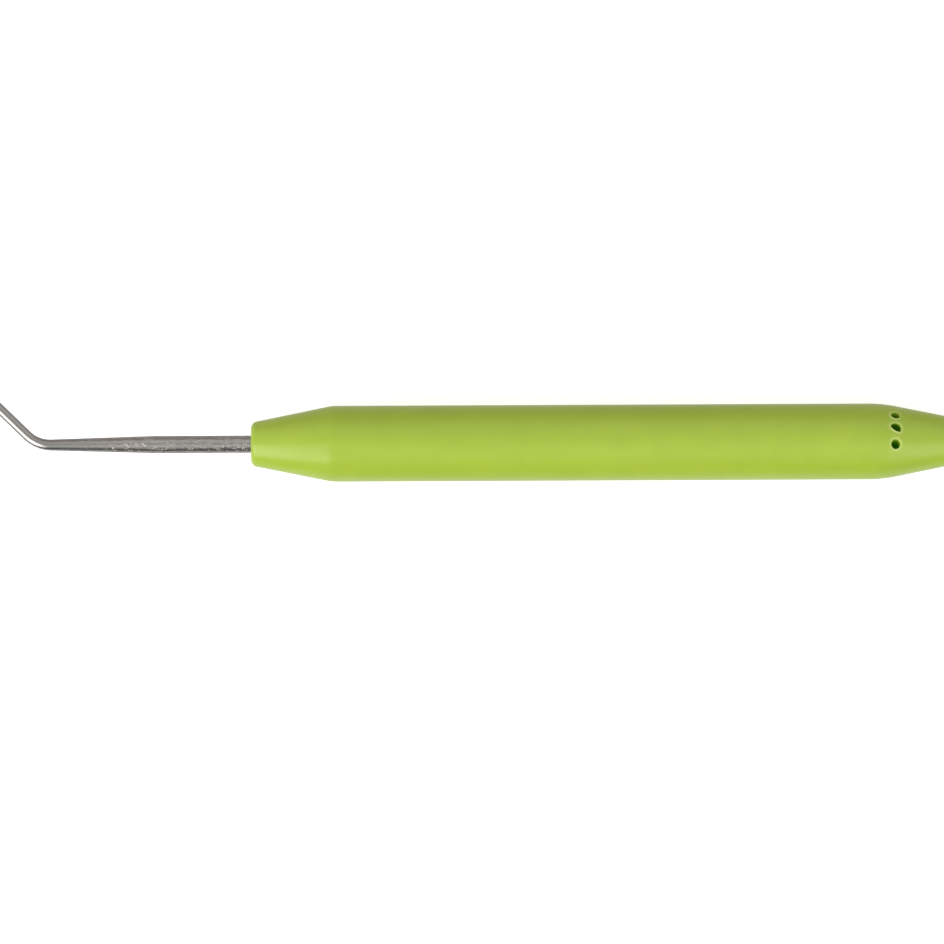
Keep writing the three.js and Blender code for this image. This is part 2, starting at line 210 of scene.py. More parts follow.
def wireSection(along):
    for near, far in zip(wireKnots, wireKnots[1:]):
        if along <= far[0]:
            break
    share = min(max((along - near[0]) / (far[0] - near[0]), 0), 1)
    if near[1] != near[2] or far[1] != far[2]:
        share = share * share * (3 - 2 * share)      # pressed lengths swell and shrink softly
    return [a + (b - a) * share for a, b in zip(near[1:], far[1:])]


def wireRings():
    marks = [knot[0] for knot in wireKnots] + [bendStart, bendEnd, 0]
    marks = sorted(set(marks))
    rings = [marks[0]]
    for start, end in zip(marks, marks[1:]):
        height, thickness, rise = wireSection((start + end) / 2)
        step = wire["pressedStep"] if thickness < height else wire["ringStep"]
        if bendStart <= (start + end) / 2 <= bendEnd:
            continue
        if hookStart <= (start + end) / 2 <= hookEnd:
            continue
        count = max(1, round((end - start) / step))
        rings += [start + (end - start) * i / count for i in range(1, count + 1)]
    rings += [bendStart + (bendEnd - bendStart) * i / wire["bendSteps"]
              for i in range(1, wire["bendSteps"] + 1)]
    rings += [hookStart + (hookEnd - hookStart) * i / head["hookSteps"]
              for i in range(1, head["hookSteps"] + 1)]
    return sorted(set(round(ring, 6) for ring in rings))


# Draws the wire out straight, ring by ring, and presses its flats. A cutter is grown all round.
def drawWire(name, rings, grow=0):
    freshStart()
    height, thickness, rise = wireSection(rings[0])
    bpy.ops.mesh.primitive_circle_add(
        vertices=wire["sides"], radius=height / 2 + grow, fill_type='NGON',
        location=(wire["nose"] - rings[0], rise, 0), rotation=(0, -math.pi / 2, 0))
    piece = newPiece(name)
    applyPlace(piece)
    bpy.ops.object.mode_set(mode='EDIT')
    bpy.ops.mesh.select_all(action='SELECT')
    for last, ring in zip(rings, rings[1:]):
        lastHeight, _, lastRise = wireSection(last)
        height, thickness, rise = wireSection(ring)
        step = (last - ring, rise - lastRise, 0)
        bpy.ops.mesh.extrude_region_move(TRANSFORM_OT_translate={"value": step})
        swell = (height + 2 * grow) / (lastHeight + 2 * grow)
        bpy.ops.transform.resize(value=(1, swell, swell),
                                 center_override=(wire["nose"] - ring, rise, 0))
    for ring in rings:
        height, thickness, rise = wireSection(ring)
        if thickness > height - wire["ringSlack"]:
            continue
        face = thickness / 2 + grow
        for side in (1, -1):
            pick(piece, lambda v: abs(v.co.x - wire["nose"] + ring) < wire["ringSlack"]
                 and v.co.z * side > face)
            bpy.ops.transform.resize(value=(1, 1, 0), center_override=(0, 0, side * face))
    return piece


def roundTip(piece):
    radius = head["beakTip"] / 2
    last = 0
    pick(piece, lambda v: abs(v.co.x - wire["nose"] + tipStart) < wire["ringSlack"])
    for ring in range(1, head["tipRings"]):
        turn = math.radians(90) * ring / head["tipRings"]
        lastTurn = math.radians(90) * last / head["tipRings"]
        step = (radius * (math.sin(lastTurn) - math.sin(turn)), 0, 0)
        bpy.ops.mesh.extrude_region_move(TRANSFORM_OT_translate={"value": step})
        shrink = math.cos(turn) / math.cos(lastTurn)
        bpy.ops.transform.resize(value=(1, shrink, shrink),
                                 center_override=(wire["nose"] - tipStart, 0, 0))
        last = ring
    step = (radius * (math.sin(turn) - 1), 0, 0)
    bpy.ops.mesh.extrude_region_move(TRANSFORM_OT_translate={"value": step})
    bpy.ops.mesh.merge(type='CENTER')


# Softens the edges of the pressed flats
def easeFlats(piece, start, end):
    pick(piece, lambda v: start < wire["nose"] - v.co.x < end)
    bpy.ops.mesh.vertices_smooth(factor=wire["easeShare"], repeat=wire["easeTimes"],
                                 xaxis=False, yaxis=True, zaxis=True)


def sawSlot(piece):
    floor = head["cheekRise"] - head["cheekHeight"] / 2 + head["slotFloor"]
    freshStart()
    bpy.ops.mesh.primitive_cylinder_add(
        vertices=head["sawSides"], radius=head["sawRadius"], depth=head["slotWidth"],
        location=(wire["nose"] - pinAlong, floor + head["sawRadius"], 0))
    cutWith(piece, newPiece("saw"))
    freshStart()
    bpy.ops.mesh.primitive_cylinder_add(
        vertices=head["boreSides"], radius=head["boreRadius"], depth=3 * head["cheekThickness"],
        location=(wire["nose"] - pinAlong, head["pinHeight"], 0))
    cutWith(piece, newPiece("drill"))


# Keeps each point's place on the straight wire, for the bending and for the steel's grain
def markStraight(piece):
    places = [axis for v in piece.data.vertices for axis in v.co]
    straight = piece.data.attributes.new("straight", 'FLOAT_VECTOR', 'POINT')
    straight.data.foreach_set("vector", places)


# All that lies past a ring turns about the middle of the ring, and the ring itself by half
def bendAt(piece, along, turn):
    spot = wire["nose"] - along
    for slack in (wire["bendSlack"], -wire["bendSlack"]):
        bpy.ops.mesh.select_all(action='DESELECT')
        inside = bmesh.from_edit_mesh(piece.data)
        straight = inside.verts.layers.float_vector["straight"]
        for v in inside.verts:
            v.select = v[straight].x < spot + slack
        inside.select_flush_mode()
        bmesh.update_edit_mesh(piece.data)
        bpy.ops.transform.rotate(value=turn / 2, orient_axis='Z', center_override=(spot, 0, 0))


def bendRun(piece, start, end, turn, steps):
    for joint in range(steps, -1, -1):
        part = turn / steps if 0 < joint < steps else turn / steps / 2
        bendAt(piece, start + (end - start) * joint / steps, part)


def makeHookWire():
    piece = drawWire("hookWire", wireRings())
    roundTip(piece)
    easeFlats(piece, wire["keyStart"] - wire["keyEase"], wire["keyEnd"] + wire["keyEase"])
    easeFlats(piece, cheekStart - head["cheekEase"], cheekEnd + head["cheekEase"])
    bpy.ops.mesh.select_all(action='SELECT')
    bpy.ops.mesh.normals_make_consistent(inside=False)
    sawSlot(piece)
    markStraight(piece)
    workOn(piece)
    bpy.ops.object.mode_set(mode='EDIT')
    bpy.ops.mesh.select_mode(type='VERT')
    bendRun(piece, hookStart, hookEnd, math.radians(head["hookTurn"]), head["hookSteps"])
    bendRun(piece, bendStart, bendEnd, math.radians(wire["bendTurn"]), wire["bendSteps"])
    freshStart()
    smoothPiece(piece, wire["smoothDegrees"])
    return piece


hookWire = makeHookWire()
print("wire drawn and bent:", len(hookWire.data.polygons), "faces")


grip = {
    "length": 88.85, "diameter": 9.5,
    "noseDiameter": 5.4, "noseTaper": 10.15, "noseEdge": 0.8, "noseShoulder": 5.0,
    "buttDiameter": 5.5, "buttTaper": 10.0, "buttShoulder": 15.0,
    "rimX": -1.85, "rimEdge": 0.07,
    "boreDiameter": 4.4, "boreEnd": -6.25,
    "grooveX": -5.3, "grooveDepth": 0.14, "grooveHalf": 0.4,
    "coreMouth": 4.1, "coreEnd": -60.85, "coreEndDiameter": 3.7, "coreEndTaper": 1.1,
    "turns": 192, "smoothDegrees": 32,
    "wireGap": 0.04, "pocketClear": 0.1, "pocketOut": 1.0,
    # the cone's long edge, which is cut short before the outline is turned
    "coneFrom": -9.0, "coneClear": 0.2, "coneEdge": 3.0, "coneCuts": 50,
}

vents = {
    "x": -8.38,
    "rowDegrees": 6.4, "stepDegrees": 26.0,
    "diameter": 1.12,
    "flatDiameter": 1.38, "flatOffset": 0.3, "flatTurn": 239.0,
    "bow": 1.4, "bowTurn": 28.0, "bowSides": 9,
    "rim": 0.13, "rimSteps": 5, "flareOut": 1.2, "overrun": 1.0, "shaftRings": 16,
    # how strong the painted highlight on each vent edge is, from the lowest, and how strong where
    # it faces as the flatter side does
    "highlightWidth": 0.36, "highlight": ((0.45, 0.45), (0.4, 1.0), (0.3, 1.0)),
    "sides": 48,
}

buttSlope = (grip["diameter"] - grip["buttDiameter"]) / 2 / grip["buttTaper"]


def buttRadius(x):
    return grip["buttDiameter"] / 2 - x * buttSlope


# Where the flatter side of the middle vent bows out from, as seen from outside
flatFacing = math.radians(vents["flatTurn"])
bowMiddle = (vents["flatOffset"] - vents["bow"]) * Vector((math.cos(flatFacing),
                                                           math.sin(flatFacing), 0))


# One face, round or with a flatter side, that the cutters of a vent are drawn up from
def ventFace(name, radius, flat, z):
    freshStart()
    bpy.ops.mesh.primitive_circle_add(vertices=vents["sides"], radius=radius, fill_type='NGON',
                                      location=(0, 0, z))
    cutter = newPiece(name)
    applyPlace(cutter)
    bpy.ops.object.mode_set(mode='EDIT')
    bpy.ops.mesh.select_all(action='SELECT')
    for side in range(vents["bowSides"] if flat else 0):
        lean = vents["bowTurn"] * (2 * side / (vents["bowSides"] - 1) - 1)
        facing = flatFacing + math.radians(lean)
        across = Vector((math.cos(facing), math.sin(facing), 0))
        bpy.ops.mesh.bisect(plane_co=bowMiddle + across * vents["bow"] + Vector((0, 0, z)),
                            plane_no=across, clear_outer=True)
        bpy.ops.mesh.select_all(action='SELECT')
    return cutter


# A vent is a straight hole with a small rounded rim that lies square to the cone. The hole itself
# can point another way round the axis than its mouth does.
def cutVent(shell, degrees, outDegrees, diameter, flat=False):
    turn = math.radians(degrees)
    aslant = math.radians(outDegrees - degrees)
    lean = math.atan(buttSlope)
    high = buttRadius(vents["x"])
    mouth = (vents["x"], high * math.sin(turn), high * math.cos(turn))
    shaft = ventFace("ventShaft", diameter / 2, flat, -high)
    rise = (0, 0, (high + vents["overrun"]) / vents["shaftRings"])
    for ring in range(vents["shaftRings"]):
        bpy.ops.mesh.extrude_region_move(TRANSFORM_OT_translate={"value": rise})
    bpy.ops.mesh.select_all(action='SELECT')
    bpy.ops.mesh.normals_make_consistent(inside=False)
    freshStart()
    shaft.rotation_mode = 'ZYX'
    shaft.rotation_euler = (-turn - aslant, lean, 0)
    shaft.location = mouth
    applyPlace(shaft)
    cutWith(shell, shaft)
    rim = vents["rim"]
    flare = ventFace("ventRim", diameter / 2, flat, -2 * rim)
    bpy.ops.mesh.extrude_region_move(TRANSFORM_OT_translate={"value": (0, 0, rim)})
    width = diameter / 2
    for step in range(1, vents["rimSteps"] + 1):
        before = math.radians(90) * (step - 1) / vents["rimSteps"]
        after = math.radians(90) * step / vents["rimSteps"]
        rise = rim * (math.sin(after) - math.sin(before))
        wider = diameter / 2 + rim * (1 - math.cos(after))
        bpy.ops.mesh.extrude_region_move(TRANSFORM_OT_translate={"value": (0, 0, rise)})
        bpy.ops.transform.resize(value=(wider / width, wider / width, 1),
                                 center_override=(0, 0, 0))
        width = wider
    bpy.ops.mesh.extrude_region_move(TRANSFORM_OT_translate={"value": (0, 0, 2 * rim)})
    flareOut = vents["flareOut"]
    bpy.ops.transform.resize(value=(flareOut, flareOut, 1), center_override=(0, 0, 0))
    bpy.ops.mesh.select_all(action='SELECT')
    bpy.ops.mesh.normals_make_consistent(inside=False)
    freshStart()
    flare.data.transform(Matrix.Shear('XY', 4, (0, math.tan(aslant))) @
                         Matrix.Diagonal((1, 1 / math.cos(aslant), 1, 1)))
    flare.rotation_mode = 'ZYX'
    flare.rotation_euler = (-turn, lean, 0)
    flare.location = mouth
    applyPlace(flare)
    cutWith(shell, flare)


# Marks how deep each point lies under the cone, and how much painted highlight it gets near the
# edge of a vent
def markVents(shell):
    row = [(vents["rowDegrees"] + step * vents["stepDegrees"],
            vents["diameter"] if step else vents["flatDiameter"], step == 0, *highlight)
           for step, highlight in zip((-1, 0, 1), vents["highlight"])]
    highlightWay = Vector((math.cos(flatFacing), math.sin(flatFacing)))
    depths = []
    edges = []
    for v in shell.data.vertices:
        onCone = v.co.x > -grip["buttTaper"]
        depth = max(0, buttRadius(v.co.x) - math.hypot(v.co.y, v.co.z)) if onCone else 0
        depths.append(depth)
        near = 0
        for degrees, diameter, flat, highlight, highlightMost in row:
            turn = math.radians(degrees)
            aside = v.co.y * math.cos(turn) - v.co.z * math.sin(turn)
            # the lowest mouth is drawn out round the axis, because its hole runs aslant
            if degrees < vents["rowDegrees"]:
                aside *= math.cos(math.radians(vents["stepDegrees"]))
            along = v.co.x - vents["x"]
            gap = math.hypot(along, aside) - diameter / 2
            if flat:
                gap = max(gap, math.dist((along, aside), bowMiddle[:2]) - vents["bow"])
            if v.co.y * math.sin(turn) + v.co.z * math.cos(turn) > 0:
                # the painted highlight is strongest where the edge faces as the flatter side does
                facing = max(0, highlightWay.dot(Vector((along, aside)).normalized()))
                highlight += (highlightMost - highlight) * facing
                near = max(near, highlight * (1 - abs(gap) / vents["highlightWidth"]))
        edges.append(near * max(0, 1 - depth / vents["rim"]))
    for name, values in (("ventDepth", depths), ("ventEdgeHighlight", edges)):
        mark = shell.data.attributes.new(name, 'FLOAT', 'POINT')
        mark.data.foreach_set("value", values)


def makeGripShell():
    half = grip["diameter"] / 2
    bore = grip["boreDiameter"] / 2
    shell = drawOutline("gripShell", [
        (-grip["length"], 0),
        (-grip["length"], grip["noseDiameter"] / 2, grip["noseEdge"], 8),
        (-grip["length"] + grip["noseTaper"], half, grip["noseShoulder"], 10),
        (-grip["buttTaper"], half, grip["buttShoulder"], 14),
        (grip["rimX"], buttRadius(grip["rimX"]), grip["rimEdge"], 4),
        (grip["rimX"], bore, grip["rimEdge"], 4),
        (grip["grooveX"] + grip["grooveHalf"], bore),
        (grip["grooveX"], bore + grip["grooveDepth"]),
        (grip["grooveX"] - grip["grooveHalf"], bore),
        (grip["boreEnd"], bore),
        (grip["boreEnd"], grip["coreMouth"] / 2),
        (grip["coreEnd"] + grip["coreEndTaper"], grip["coreEndDiameter"] / 2),
        (grip["coreEnd"], wire["diameter"] / 2),
        (grip["coreEnd"], 0),
    ])
    # short edges round the vents, so that the rims shade cleanly
    pick(shell, lambda e: min(v.co.x for v in e.verts) > grip["coneFrom"] and
         min(v.co.z for v in e.verts) > bore + grip["coneClear"] and
         e.calc_length() > grip["coneEdge"], 'EDGE')
    bpy.ops.mesh.subdivide(number_cuts=grip["coneCuts"])
    turnOutline(shell, grip["turns"])
    rings = [ring for ring in wireRings() if ring < -grip["pocketClear"]]
    rings += [0.0, grip["pocketOut"]]
    pocket = drawWire("pocket", rings, grip["wireGap"])
    bpy.ops.mesh.select_all(action='SELECT')
    bpy.ops.mesh.normals_make_consistent(inside=False)
    cutWith(shell, pocket)
    middle = vents["rowDegrees"]
    lowest = middle - vents["stepDegrees"]
    highest = middle + vents["stepDegrees"]
    cutVent(shell, lowest, middle, vents["diameter"])
    cutVent(shell, middle, middle, vents["flatDiameter"], flat=True)
    cutVent(shell, highest, highest, vents["diameter"])
    markVents(shell)
    smoothPiece(shell, grip["smoothDegrees"])
    return shell


gripShell = makeGripShell()
print("grip turned and vented:", len(gripShell.data.polygons), "faces")


plug = {
    "seat": -1.8, "seatEdge": 0.07,
    "faceEdge": 0.6,
    "spigotEnd": -6.2, "spigotDiameter": 4.3, "spigotEdge": 0.2,
    "beadX": -5.3, "beadHeight": 0.14, "beadHalf": 0.35, "beadEdge": 0.2,
    "wall": 0.8,
    "turns": 160, "smoothDegrees": 32,
}


def makeButtPlug():
    spigot = plug["spigotDiameter"] / 2
    hollow = spigot - plug["wall"]
    body = drawOutline("buttPlug", [
        (plug["seat"], 0),
        (plug["seat"], hollow),
        (plug["spigotEnd"], hollow, plug["seatEdge"], 3),
        (plug["spigotEnd"], spigot, plug["spigotEdge"], 4),
        (plug["beadX"] - plug["beadHalf"], spigot),
        (plug["beadX"], spigot + plug["beadHeight"], plug["beadEdge"], 4),
        (plug["beadX"] + plug["beadHalf"], spigot),
        (plug["seat"], spigot),
        (plug["seat"], buttRadius(plug["seat"]), plug["seatEdge"], 4),
        (0, grip["buttDiameter"] / 2, plug["faceEdge"], 8),
        (0, 0),
    ])
    turnOutline(body, plug["turns"])
    smoothPiece(body, plug["smoothDegrees"])
    return body


buttPlug = makeButtPlug()
print("end plug turned:", len(buttPlug.data.polygons), "faces")


# The latch is drawn with its pin at the origin and its spoon along X
latch = {
    "reach": 6.618, "restDegrees": 18.34,
    "thickness": 0.4,
    "eyeRadius": 0.68, "eyeBore": 0.35, "eyeSides": 72, "boreSides": 64,
    "openHalf": 84.9, "openFrom": 0.08,       # the part of the eye that the blade leaves from
    "bladeRise": 0.24, "bladeDrop": 0.1,
    "spoonLead": 0.5, "spoonLength": 2.3, "spoonWall": 0.17, "spoonHollow": 0.47,
    "spoonSides": 64, "spoonRings": 32,
    "rimDrop": 0.24, "rimTilt": 9.0,
    "grain": 0.02, "polish": 8, "polishShare": 0.5,
}

pin = {
    "diameter": 0.6, "length": 1.34, "edge": 0.05, "edgeSteps": 4,
    "sides": 48, "smoothDegrees": 40,
}


# Turns a piece drawn at the pin onto the stem: X away from the grip, Y to the open side
def ontoHead(piece, degrees=0):
    stem = math.radians(180 - wire["bendTurn"])
    corner = Vector((wire["nose"] - wire["bendCorner"], 0, 0))
    along = Vector((math.cos(stem), math.sin(stem), 0))
    toOpen = Vector((math.sin(stem), -math.cos(stem), 0))
    piece.rotation_euler = (math.pi, 0, stem - math.radians(degrees))
    piece.location = corner + along * head["pin"] + toOpen * head["pinHeight"]
    applyPlace(piece)


def drawBlade(bladeEnd):
    freshStart()
    bpy.ops.mesh.primitive_circle_add(vertices=latch["eyeSides"], radius=latch["eyeRadius"],
                                      fill_type='NOTHING',
                                      location=(0, 0, -latch["thickness"] / 2))
    blade = newPiece("latchBlade")
    applyPlace(blade)
    bpy.ops.object.mode_set(mode='EDIT')
    pick(blade, lambda v: v.co.x > latch["openFrom"] and
         abs(math.degrees(math.atan2(v.co.y, v.co.x))) < latch["openHalf"])
    bpy.ops.mesh.delete(type='VERT')
    for side, aside in ((1, latch["bladeRise"]), (-1, -latch["bladeDrop"])):
        inside = bmesh.from_edit_mesh(blade.data)
        ends = [v.co.copy() for v in inside.verts if len(v.link_edges) == 1 and v.co.y * side > 0]
        start = ends[0]
        pick(blade, lambda v: (v.co - start).length < samePlace)
        step = (bladeEnd - start.x, aside - start.y, 0)
        bpy.ops.mesh.extrude_vertices_move(TRANSFORM_OT_translate={"value": step})
    bpy.ops.mesh.select_all(action='SELECT')
    bpy.ops.mesh.edge_face_add()
    bpy.ops.mesh.select_all(action='SELECT')
    rise = (0, 0, latch["thickness"])
    bpy.ops.mesh.extrude_region_move(TRANSFORM_OT_translate={"value": rise})
    bpy.ops.mesh.select_all(action='SELECT')
    bpy.ops.mesh.normals_make_consistent(inside=False)
    freshStart()
    return blade


def drawEgg(name, middle, length, radius):
    freshStart()
    bpy.ops.mesh.primitive_uv_sphere_add(segments=latch["spoonSides"],
                                         ring_count=latch["spoonRings"], radius=1,
                                         location=(middle, 0, 0))
    egg = newPiece(name)
    egg.scale = (length / 2, radius, radius)
    applyPlace(egg)
    return egg


def makeLatchBlade():
    wall = latch["spoonWall"]
    spoonStart = latch["reach"] - latch["spoonLead"] - wall
    spoonMiddle = spoonStart + latch["spoonLength"] / 2
    radius = latch["spoonHollow"] + wall
    blade = drawBlade(spoonStart + latch["spoonLead"])
    cutWith(blade, drawEgg("spoon", spoonMiddle, latch["spoonLength"], radius), 'UNION')
    cutWith(blade, drawEgg("hollow", spoonMiddle, latch["spoonLength"] - 2 * wall,
                           latch["spoonHollow"]))
    freshStart()
    length = 2 * latch["spoonLength"]
    bpy.ops.mesh.primitive_cube_add(size=1, location=(length / 2, -radius / 2, 0))
    under = newPiece("under")
    under.scale = (length, radius, 4 * radius)
    applyPlace(under)
    under.rotation_euler = (0, 0, math.radians(latch["rimTilt"]))
    under.location = (spoonStart, -latch["rimDrop"], 0)
    applyPlace(under)
    cutWith(blade, under)
    freshStart()
    bpy.ops.mesh.primitive_cylinder_add(vertices=latch["boreSides"], radius=latch["eyeBore"],
                                        depth=4 * latch["thickness"])
    cutWith(blade, newPiece("eyeDrill"))
    workOn(blade)
    grain = blade.modifiers.new("grain", 'REMESH')
    grain.mode = 'VOXEL'
    grain.voxel_size = latch["grain"]
    bpy.ops.object.modifier_apply(modifier=grain.name)
    polish = blade.modifiers.new("polish", 'SMOOTH')
    polish.factor = latch["polishShare"]
    polish.iterations = latch["polish"]
    bpy.ops.object.modifier_apply(modifier=polish.name)
    bpy.ops.object.shade_smooth()
    ontoHead(blade, latch["restDegrees"])
    return blade


def makeRivetPin():
    freshStart()
    bpy.ops.mesh.primitive_cylinder_add(vertices=pin["sides"], radius=pin["diameter"] / 2,
                                        depth=pin["length"])
    rivet = newPiece("rivetPin")
    bpy.ops.object.mode_set(mode='EDIT')
    end = pin["length"] / 2
    pick(rivet, lambda e: abs(abs(e.verts[0].co.z) - end) < samePlace
         and abs(e.verts[0].co.z - e.verts[1].co.z) < samePlace, 'EDGE')
    bpy.ops.mesh.bevel(offset=pin["edge"], segments=pin["edgeSteps"], profile=0.5,
                       affect='EDGES')
    freshStart()
    smoothPiece(rivet, pin["smoothDegrees"])
    ontoHead(rivet)
    return rivet


latchBlade = makeLatchBlade()
rivetPin = makeRivetPin()
print("latch and pin made:", len(latchBlade.data.polygons), "faces")

for piece in (hookWire, gripShell, buttPlug, latchBlade, rivetPin):
    setInPlace(piece)


# A node material, its node tree and its shader
def newFinish(name):
    finish = bpy.data.materials.new(name)
    finish.use_nodes = True
    tree = finish.node_tree
    shader = next(node for node in tree.nodes if node.type == 'BSDF_PRINCIPLED')
    return finish, tree, shader


def addNode(tree, kind, **settings):
    node = tree.nodes.new(kind)
    for name, value in settings.items():
        setattr(node, name, value)
    return node


def addNoise(tree, place, scale, detail=2.0, rough=0.5):
    noise = addNode(tree, 'ShaderNodeTexNoise')
    noise.inputs["Scale"].default_value = scale
    noise.inputs["Detail"].default_value = detail
    noise.inputs["Roughness"].default_value = rough
    tree.links.new(place, noise.inputs["Vector"])
    return noise.outputs["Fac"]


def addRange(tree, value, low, high, toLow, toHigh, smooth=False):
    spread = addNode(tree, 'ShaderNodeMapRange')
    if smooth:
        spread.interpolation_type = 'SMOOTHSTEP'
    for name, number in (("From Min", low), ("From Max", high), ("To Min", toLow),
                         ("To Max", toHigh)):
        spread.inputs[name].default_value = number
    tree.links.new(value, spread.inputs["Value"])
    return spread.outputs["Result"]


def addMix(tree, share, first, second):
    mix = addNode(tree, 'ShaderNodeMix', data_type='RGBA')
    for socket, value in ((mix.inputs[0], share), (mix.inputs[6], first), (mix.inputs[7], second)):
        if isinstance(value, bpy.types.NodeSocket):
            tree.links.new(value, socket)
        else:
            socket.default_value = value
    return mix.outputs[2]


def addSum(tree, operation, first, second):
    sums = addNode(tree, 'ShaderNodeMath', operation=operation)
    for socket, value in zip(sums.inputs, (first, second)):
        if isinstance(value, bpy.types.NodeSocket):
            tree.links.new(value, socket)
        else:
            socket.default_value = value
    return sums.outputs[0]


def addBump(tree, height, strength, depth, under=None):
    bump = addNode(tree, 'ShaderNodeBump')
    bump.inputs["Strength"].default_value = strength
    bump.inputs["Distance"].default_value = depth
    tree.links.new(height, bump.inputs["Height"])
    if under is not None:
        tree.links.new(under, bump.inputs["Normal"])
    return bump.outputs["Normal"]


def stretchedBy(tree, place, stretch):
    scale = addNode(tree, 'ShaderNodeMapping')
    scale.inputs["Scale"].default_value = stretch
    tree.links.new(place, scale.inputs["Vector"])
    return scale.outputs["Vector"]


# Object coordinates in millimetres, stretched as asked
def millimetres(tree, stretch=(1, 1, 1)):
    place = addNode(tree, 'ShaderNodeTexCoord')
    return stretchedBy(tree, place.outputs["Object"], [part / millimetre for part in stretch])


lime = {
    "colour": (0.425, 0.588, 0.050, 1),
    "deep": (0.397, 0.562, 0.045, 1),
    "edge": (0.86, 0.95, 0.42, 1),            # the vent edges are painted paler: mostly a painted highlight, partly rubbed wear
    # painted shade: the vents are painted darker the deeper they go
    "shade": (0.15, 0.38, 0.0, 1), "shadeDepths": (0.1, 0.9),
    # painted glow in the depth of the vents
    "glow": (0.14, 1.0, 0.0, 1), "glowDepth": 2.4, "glowMost": 0.028,
    # noises: how they are stretched, then scale, detail and roughness
    "flowStretch": (0.05, 0.35, 0.35), "flow": (1.0, 2.0), "plugShift": 0.2,
    "cloud": (0.35, 2.0),
    "tone": (0.75, 1.25),
    "satin": (5.0, 3.0), "satinSpread": (0.3, 0.7), "roughness": (0.28, 0.35),
    "waveStretch": (0.12, 1, 1), "wave": (0.6, 1.0), "waveBump": (0.25, 0.00003),
    "grain": (9.0, 3.0, 0.6), "grainBump": (0.5, 0.000006),
    "ior": 1.6,
    "under": 0.12, "underRadius": (0.6, 1.0, 0.15), "underScale": 0.0007,
}


def limePlastic(name, shift):
    finish, tree, shader = newFinish(name)
    flowScale, flowDetail = lime["flow"]
    flow = addNoise(tree, millimetres(tree, lime["flowStretch"]), flowScale + shift, flowDetail)
    cloud = addNoise(tree, millimetres(tree), *lime["cloud"])
    tone = addRange(tree, addSum(tree, 'ADD', flow, cloud), *lime["tone"], 0, 1)
    colour = addMix(tree, tone, lime["deep"], lime["colour"])
    edge = addNode(tree, 'ShaderNodeAttribute', attribute_name="ventEdgeHighlight")
    depth = addNode(tree, 'ShaderNodeAttribute', attribute_name="ventDepth")
    # painted highlight round the vent edges, partly rubbed wear as well
    colour = addMix(tree, edge.outputs["Fac"], colour, lime["edge"])
    # painted shade, darker with depth in the vents
    shade = addRange(tree, depth.outputs["Fac"], *lime["shadeDepths"], 0, 1, smooth=True)
    colour = addMix(tree, shade, colour, lime["shade"])
    tree.links.new(colour, shader.inputs["Base Color"])
    # painted light: the plastic glows faintly in the depth of the vents, standing in for light
    # that comes through it
    glow = addRange(tree, depth.outputs["Fac"], 0, lime["glowDepth"], 0, lime["glowMost"])
    tree.links.new(glow, shader.inputs["Emission Strength"])
    shader.inputs["Emission Color"].default_value = lime["glow"]
    satin = addNoise(tree, millimetres(tree), *lime["satin"])
    tree.links.new(addRange(tree, satin, *lime["satinSpread"], *lime["roughness"]),
                   shader.inputs["Roughness"])
    grain = addNoise(tree, millimetres(tree), *lime["grain"])
    waves = addNoise(tree, millimetres(tree, lime["waveStretch"]), *lime["wave"])
    normal = addBump(tree, waves, *lime["waveBump"])
    normal = addBump(tree, grain, *lime["grainBump"], normal)
    tree.links.new(normal, shader.inputs["Normal"])
    shader.inputs["IOR"].default_value = lime["ior"]
    shader.inputs["Subsurface Weight"].default_value = lime["under"]
    shader.inputs["Subsurface Radius"].default_value = lime["underRadius"]
    shader.inputs["Subsurface Scale"].default_value = lime["underScale"]
    return finish


steel = {
    "worked": (0.55, 0.535, 0.515, 1),
    "stain": (0.30, 0.265, 0.25, 1),
    "polished": (0.43, 0.423, 0.412, 1),
    "edge": (0.30, 0.28, 0.28, 1),
    "workedRoughness": 0.20, "polishedRoughness": 0.22,
    "workedUntil": 15.0, "polishedFrom": 27.0,
    "streakStretch": (0.16, 1, 1), "streak": (7.0, 3.0, 0.6),
    "streakStain": (0.42, 0.75, 0, 0.55), "streakRough": (0.3, 0.7, -0.04, 0.05),
    "hammerStretch": (0.3, 0.8, 0.8), "dent": (3.2, 2.0, 0.5),
    "pit": (4.5, 2.0, 0.6), "pitSpread": (0.56, 0.68),
    "dentBump": (0.6, 0.00007), "pitBump": (0.8, 0.00004), "streakBump": (0.25, 0.000006),
}


